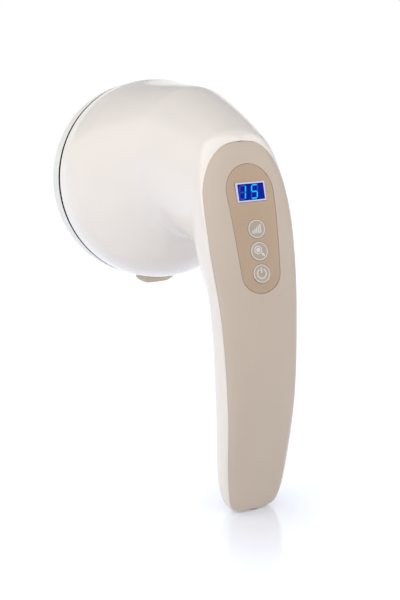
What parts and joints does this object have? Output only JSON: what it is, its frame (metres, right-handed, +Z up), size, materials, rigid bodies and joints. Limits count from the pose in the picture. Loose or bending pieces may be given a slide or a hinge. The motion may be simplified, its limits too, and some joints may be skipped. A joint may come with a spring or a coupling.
{
  "type": "anti-cellulite massager",
  "caption": "Hand-held electric body massager: a round head with a turning roller plate in a guard ring, on a curved handle with a lit display and keys.",
  "frame": {"origin": "middle of the bounding box's bottom face, level with the lowest point of the handle", "axes": "+Z up along the hanging handle, -Y out of the massage face, +X to the left in the picture"},
  "size_m": [0.1184, 0.1752, 0.2176],
  "materials": {
    "pearl_shell": "pearl gloss",
    "white_ring": "semi-gloss",
    "beige_cover": "satin",
    "tan_panel": "satin",
    "beige_button": "satin",
    "key_plastic": "satin",
    "seal": "matte",
    "display_frame": "gloss",
    "display_window": "gloss",
    "head_plastic": "semi-gloss",
    "nylon": "satin",
    "dark_plastic": "satin",
    "board": "satin",
    "cell_wrap": "gloss film",
    "roller_steel": "polished",
    "pin_steel": "ground",
    "spindle_steel": "ground",
    "bearing_steel": "ground",
    "motor_steel": "plated",
    "spring_steel": "drawn",
    "screw_steel": "zinc plated",
    "zinc": "zinc plated"
  },
  "bodies": {
    "housing": {"body_shell": "pearl_shell", "grip_cover": "beige_cover", "control_panel": "tan_panel", "display_frame": "display_frame", "display_window": "display_window", "display_module": "dark_plastic", "control_board": "board", "intensity_switch": "dark_plastic", "mode_switch": "dark_plastic", "power_switch": "dark_plastic", "guard_ring": "white_ring", "seam_seal": "seal", "front_bulkhead": "nylon", "front_bearing": "bearing_steel", "rear_bearing": "bearing_steel", "motor_bracket": "zinc", "motor": "motor_steel", "release_spring": "spring_steel", "battery_cell_1": "cell_wrap", "battery_cell_2": "cell_wrap", "battery_tray": "dark_plastic", "charge_socket": "dark_plastic", "charge_board": "board", "bulkhead_screw_1": "screw_steel", "bulkhead_screw_2": "screw_steel", "bulkhead_screw_3": "screw_steel", "bulkhead_screw_4": "screw_steel", "bracket_screw_1": "screw_steel", "bracket_screw_2": "screw_steel", "bracket_screw_3": "screw_steel", "bracket_screw_4": "screw_steel"},
    "head": {"massage_disc": "head_plastic", "drive_spindle": "spindle_steel", "spindle_gear": "nylon", "spindle_clip": "zinc", "roller_pin_1": "pin_steel", "roller_pin_2": "pin_steel", "roller_pin_3": "pin_steel", "roller_pin_4": "pin_steel", "roller_pin_5": "pin_steel", "roller_pin_6": "pin_steel"},
    "rotor": {"motor_pinion": "nylon", "motor_shaft": "spindle_steel"},
    "roller_body_1": {"roller_1": "roller_steel"},
    "roller_body_2": {"roller_2": "roller_steel"},
    "roller_body_3": {"roller_3": "roller_steel"},
    "roller_body_4": {"roller_4": "roller_steel"},
    "roller_body_5": {"roller_5": "roller_steel"},
    "roller_body_6": {"roller_6": "roller_steel"},
    "release": {"release_button": "beige_button"},
    "intensity": {"intensity_key": "key_plastic"},
    "mode": {"mode_key": "key_plastic"},
    "power": {"power_key": "key_plastic"}
  },
  "joints": [
    {"name": "head_spin", "type": "hinge", "parent": "housing", "child": "head", "pos_m": [0, -0.05734, 0.1575], "axis": [0, -0.9848, -0.1736], "continuous": true},
    {"name": "rotor_spin", "type": "hinge", "parent": "housing", "child": "rotor", "pos_m": [0, -0.06146, 0.18086], "axis": [0, -0.9848, -0.1736], "continuous": true},
    {"name": "roller_spin_1", "type": "hinge", "parent": "head", "child": "roller_body_1", "pos_m": [0.03047, -0.07408, 0.15455], "axis": [1, 0, 0], "continuous": true},
    {"name": "roller_spin_2", "type": "hinge", "parent": "head", "child": "roller_body_2", "pos_m": [0.01524, -0.07867, 0.18054], "axis": [0.5, -0.1504, 0.8529], "continuous": true},
    {"name": "roller_spin_3", "type": "hinge", "parent": "head", "child": "roller_body_3", "pos_m": [-0.01524, -0.07867, 0.18054], "axis": [-0.5, -0.1504, 0.8529], "continuous": true},
    {"name": "roller_spin_4", "type": "hinge", "parent": "head", "child": "roller_body_4", "pos_m": [-0.03047, -0.07408, 0.15455], "axis": [-1, 0, 0], "continuous": true},
    {"name": "roller_spin_5", "type": "hinge", "parent": "head", "child": "roller_body_5", "pos_m": [-0.01524, -0.0695, 0.12856], "axis": [-0.5, 0.1504, -0.8529], "continuous": true},
    {"name": "roller_spin_6", "type": "hinge", "parent": "head", "child": "roller_body_6", "pos_m": [0.01524, -0.0695, 0.12856], "axis": [0.5, 0.1504, -0.8529], "continuous": true},
    {"name": "release_press", "type": "slide", "parent": "housing", "child": "release", "axis": [0, -0.1736, 0.9848], "range_m": [0, 0.002], "stiffness_N_per_m": 300, "springref_m": -0.001, "deforming": ["release_spring"]},
    {"name": "intensity_press", "type": "slide", "parent": "housing", "child": "intensity", "axis": [0, -0.9469, -0.3217], "range_m": [0, 0.0004], "stiffness_N_per_m": 500, "springref_m": -0.0005},
    {"name": "mode_press", "type": "slide", "parent": "housing", "child": "mode", "axis": [0, -0.9469, -0.3217], "range_m": [0, 0.0004], "stiffness_N_per_m": 500, "springref_m": -0.0005},
    {"name": "power_press", "type": "slide", "parent": "housing", "child": "power", "axis": [0, -0.9469, -0.3217], "range_m": [0, 0.0004], "stiffness_N_per_m": 500, "springref_m": -0.0005}
  ],
  "couplings": [
    {"joint": "rotor_spin", "follows": "head_spin", "ratio": -3}
  ]
}
